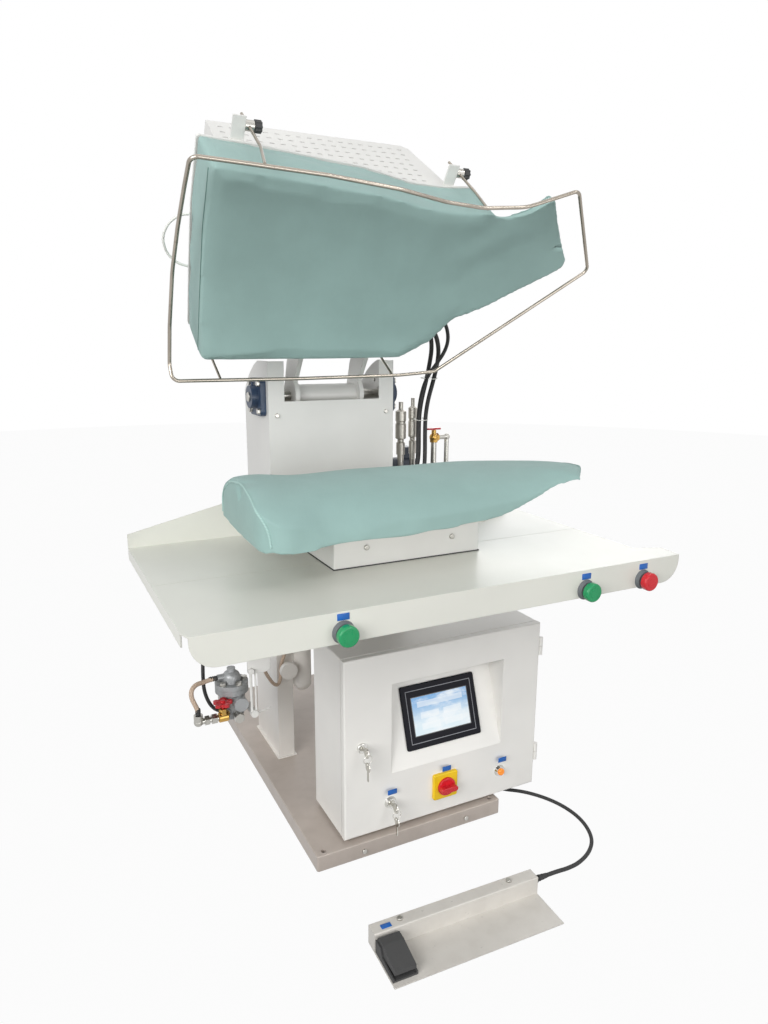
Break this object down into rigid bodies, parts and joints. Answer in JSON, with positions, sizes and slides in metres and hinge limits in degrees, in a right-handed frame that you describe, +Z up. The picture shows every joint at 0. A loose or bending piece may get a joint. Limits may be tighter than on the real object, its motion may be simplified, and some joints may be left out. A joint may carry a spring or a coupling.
{
  "type": "garment press",
  "caption": "Floor-standing pneumatic garment press: padded buck on a wide table, padded head hinged above it, control cabinet and foot pedal below.",
  "frame": {"origin": "centre of the four floor anchor holes, on the floor", "axes": "+X to the operator's right, +Y to the back, +Z up"},
  "size_m": [1.103, 1.2446, 1.6137],
  "materials": {
    "white_paint": "satin light grey enamel",
    "table_paint": "satin light grey enamel",
    "cabinet_paint": "light grey powder coat",
    "bearing_blue": "dark blue enamelled casting",
    "bright_steel": "zinc plated",
    "chrome": "bright plating",
    "aluminium": "cast and machined",
    "trap_casting": "grey painted casting",
    "brass": "plain brass",
    "teal_cloth": "woven press cloth, pale teal",
    "black_rubber": "matt",
    "beige_hose": "braided hose",
    "black_plastic": "matt",
    "dark_plastic": "moulded, matt",
    "screen": "gloss display cover",
    "green_plastic": "gloss",
    "red_plastic": "gloss",
    "yellow_plastic": "gloss",
    "orange_lens": "translucent lens",
    "key_steel": "nickel plated key",
    "red_paint": "gloss enamel",
    "motor_paint": "dark blue grey enamel"
  },
  "bodies": {
    "press": {"ball_valve": "brass", "base_tray": "white_paint", "bearing_housings": "bearing_blue", "buck_chest": "aluminium", "buck_pad": "teal_cloth", "button_housings": "dark_plastic", "cabinet_body": "cabinet_paint", "cabinet_spacers": "black_rubber", "cable_glands": "dark_plastic", "column_front_cover": "white_paint", "column_rear_cover": "white_paint", "column_sides": "white_paint", "foot_switch": "black_plastic", "frame": "white_paint", "head_hoses": "black_rubber", "hex_bolts": "bright_steel", "pan_screws": "bright_steel", "pedal_box": "white_paint", "pedal_cable": "black_rubber", "pedal_plate": "white_paint", "pedestal": "white_paint", "pedestal_gasket": "black_rubber", "piston_valves": "aluminium", "service_pipes": "bright_steel", "table_backsplash": "table_paint", "table_top": "table_paint", "trap_body": "trap_casting", "trap_cover": "trap_casting", "trap_fittings": "chrome", "trap_hanger": "white_paint", "trap_hose": "beige_hose", "trap_valve": "brass", "v_hose": "beige_hose", "vacuum_motor": "motor_paint"},
    "head": {"head_pad": "teal_cloth", "head_plate": "white_paint", "head_hood": "white_paint", "lever_arms": "white_paint", "head_shaft": "bright_steel", "guard_bar": "bright_steel", "guard_clamps": "chrome", "head_side_tube": "white_paint"},
    "clamp_knob_left": {"knob_left": "black_plastic"},
    "clamp_knob_right": {"knob_right": "black_plastic"},
    "door": {"cabinet_door": "cabinet_paint", "screen_housing": "dark_plastic", "screen_glass": "screen", "lock_body": "bright_steel", "bezel_rings": "chrome", "pilot_lens": "orange_lens", "isolator_plate": "yellow_plastic"},
    "door_key": {"lock_key": "key_steel"},
    "selector_key": {"switch_key": "key_steel"},
    "isolator": {"isolator_knob": "red_plastic"},
    "left_button": {"green_button_left": "green_plastic"},
    "right_button": {"green_button_right": "green_plastic"},
    "stop_button": {"red_button": "red_plastic"},
    "treadle": {"foot_treadle": "dark_plastic"},
    "handwheel": {"trap_handwheel": "red_paint"},
    "valve_handle": {"ball_valve_handle": "red_paint"}
  },
  "joints": [
    {"name": "head_close", "type": "hinge", "parent": "press", "child": "head", "pos_m": [0, 0.09, 1.02], "axis": [1, 0, 0], "range_deg": [0, 54], "deforming": ["head_hoses"]},
    {"name": "clamp_knob_left_turn", "type": "hinge", "parent": "head", "child": "clamp_knob_left", "pos_m": [-0.288, -0.30507, 1.55866], "axis": [1, 0, 0], "range_deg": [0, 720]},
    {"name": "clamp_knob_right_turn", "type": "hinge", "parent": "head", "child": "clamp_knob_right", "pos_m": [0.197, -0.28038, 1.52468], "axis": [1, 0, 0], "range_deg": [0, 720]},
    {"name": "door_swing", "type": "hinge", "parent": "press", "child": "door", "pos_m": [0.364, -0.421, 0.26], "axis": [0, 0, 1], "range_deg": [0, 110]},
    {"name": "door_key_turn", "type": "hinge", "parent": "door", "child": "door_key", "pos_m": [-0.13, -0.432, 0.272], "axis": [0, -1, 0], "range_deg": [0, 90]},
    {"name": "selector_key_turn", "type": "hinge", "parent": "door", "child": "selector_key", "pos_m": [-0.057, -0.434, 0.113], "axis": [0, -1, 0], "range_deg": [0, 90]},
    {"name": "isolator_turn", "type": "hinge", "parent": "door", "child": "isolator", "pos_m": [0.089, -0.437, 0.119], "axis": [0, -1, 0], "range_deg": [0, 90]},
    {"name": "left_button_press", "type": "slide", "parent": "press", "child": "left_button", "axis": [0, 1, 0], "range_m": [0, 0.005], "stiffness_N_per_m": 600, "springref_m": -0.002},
    {"name": "right_button_press", "type": "slide", "parent": "press", "child": "right_button", "axis": [0, 1, 0], "range_m": [0, 0.005], "stiffness_N_per_m": 600, "springref_m": -0.002},
    {"name": "stop_button_press", "type": "slide", "parent": "press", "child": "stop_button", "axis": [0, 1, 0], "range_m": [0, 0.005], "stiffness_N_per_m": 600, "springref_m": -0.002},
    {"name": "treadle_press", "type": "hinge", "parent": "press", "child": "treadle", "pos_m": [-0.20275, -0.70976, 0.022], "axis": [0.9994, -0.0349, 0], "range_deg": [0, 8], "stiffness_Nm_per_rad": 2, "springref_deg": -8.59},
    {"name": "handwheel_turn", "type": "hinge", "parent": "press", "child": "handwheel", "pos_m": [-0.379, -0.183, 0.325], "axis": [0, 0, 1], "range_deg": [0, 720]},
    {"name": "valve_handle_turn", "type": "hinge", "parent": "press", "child": "valve_handle", "pos_m": [0.352, 0.1, 0.905], "axis": [0, 0, 1], "range_deg": [0, 90]}
  ]
}
